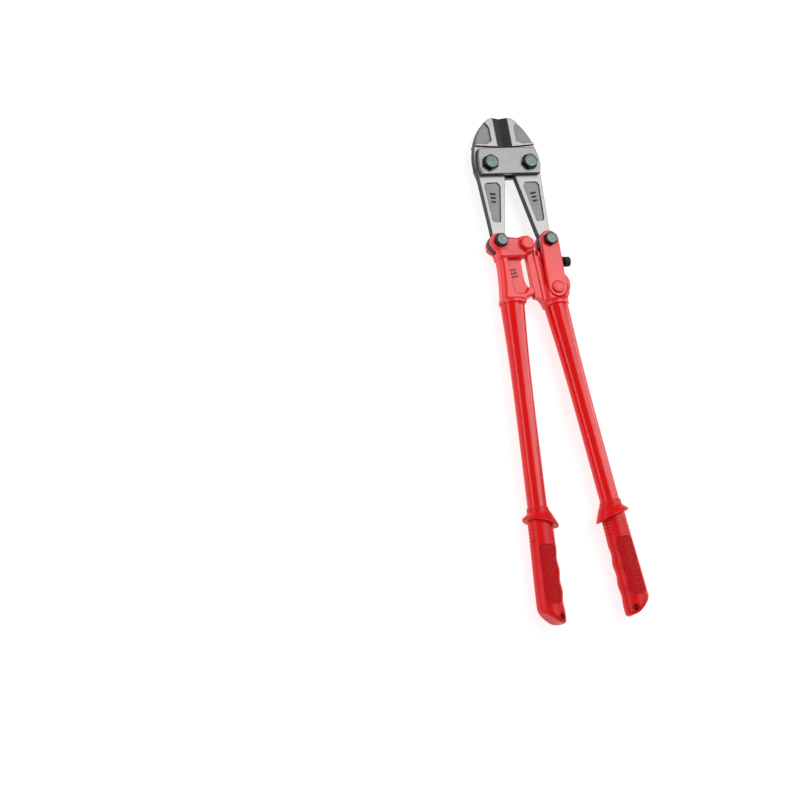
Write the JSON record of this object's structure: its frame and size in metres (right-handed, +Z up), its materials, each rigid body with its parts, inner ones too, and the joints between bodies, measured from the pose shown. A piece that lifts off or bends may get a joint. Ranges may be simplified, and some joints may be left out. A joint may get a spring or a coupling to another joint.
{
  "type": "bolt cutter",
  "caption": "Compound-action bolt cutter with forged jaws, joint plates, forked yokes, side links, an adjusting screw, flared tube handles and guarded plastic grips.",
  "frame": {"origin": "centre of the ground area the closed tool covers when it lies flat", "axes": "+X towards the right handle, +Y from the grips to the jaw tips, +Z up along the pivots"},
  "size_m": [0.1022, 0.4582, 0.0262],
  "materials": {
    "forged_steel": "satin",
    "plate_steel": "satin",
    "black_oxide": "satin black oxide",
    "red_paint": "gloss",
    "red_grip": "semi-gloss"
  },
  "bodies": {
    "head": {"front_joint_plate": "plate_steel", "rear_joint_plate": "plate_steel", "left_jaw_bolt": "black_oxide", "right_jaw_bolt": "black_oxide", "left_jaw_nut": "black_oxide", "right_jaw_nut": "black_oxide"},
    "centre_pivot": {"centre_bolt": "red_paint", "centre_nut": "black_oxide"},
    "left_handle": {"left_yoke": "red_paint", "left_tail_bolt": "black_oxide", "left_tail_nut": "black_oxide", "left_tube": "red_paint", "left_grip": "red_grip"},
    "right_handle": {"right_yoke": "red_paint", "right_tail_bolt": "black_oxide", "right_tail_nut": "black_oxide", "right_tube": "red_paint", "right_grip": "red_grip", "front_side_link": "red_paint", "rear_side_link": "red_paint", "anchor_pin": "red_paint", "adjusting_block": "black_oxide", "adjusting_lock_nut": "black_oxide"},
    "left_jaw": {"left_jaw": "forged_steel"},
    "right_jaw": {"right_jaw": "forged_steel"},
    "adjuster": {"adjusting_screw": "black_oxide"}
  },
  "joints": [
    {"name": "centre_slide", "type": "slide", "parent": "head", "child": "centre_pivot", "axis": [0, -1, 0], "range_m": [0, 0.0168]},
    {"name": "left_handle_swing", "type": "hinge", "parent": "centre_pivot", "child": "left_handle", "pos_m": [0, 0.1059, 0.0127], "axis": [0, 0, -1], "range_deg": [0, 45]},
    {"name": "right_handle_swing", "type": "hinge", "parent": "centre_pivot", "child": "right_handle", "pos_m": [0, 0.1059, 0.0127], "axis": [0, 0, 1], "range_deg": [0, 45]},
    {"name": "left_jaw_turn", "type": "hinge", "parent": "left_handle", "child": "left_jaw", "pos_m": [-0.024, 0.1095, 0.0127], "axis": [0, 0, 1], "range_deg": [0, 51.6]},
    {"name": "right_jaw_turn", "type": "hinge", "parent": "right_handle", "child": "right_jaw", "pos_m": [0.024, 0.1095, 0.0127], "axis": [0, 0, -1], "range_deg": [0, 51.6]},
    {"name": "adjusting_screw_turn", "type": "hinge", "parent": "right_handle", "child": "adjuster", "pos_m": [0.03, 0.0907, 0.0127], "axis": [1, 0, 0], "range_deg": [-180, 180]}
  ],
  "couplings": [
    {"joint": "right_handle_swing", "follows": "left_handle_swing", "ratio": 1},
    {"joint": "centre_slide", "follows": "left_handle_swing", "m_per_rad": 0.021256},
    {"joint": "left_jaw_turn", "follows": "left_handle_swing", "ratio": 1.1446},
    {"joint": "right_jaw_turn", "follows": "left_handle_swing", "ratio": 1.1446}
  ]
}
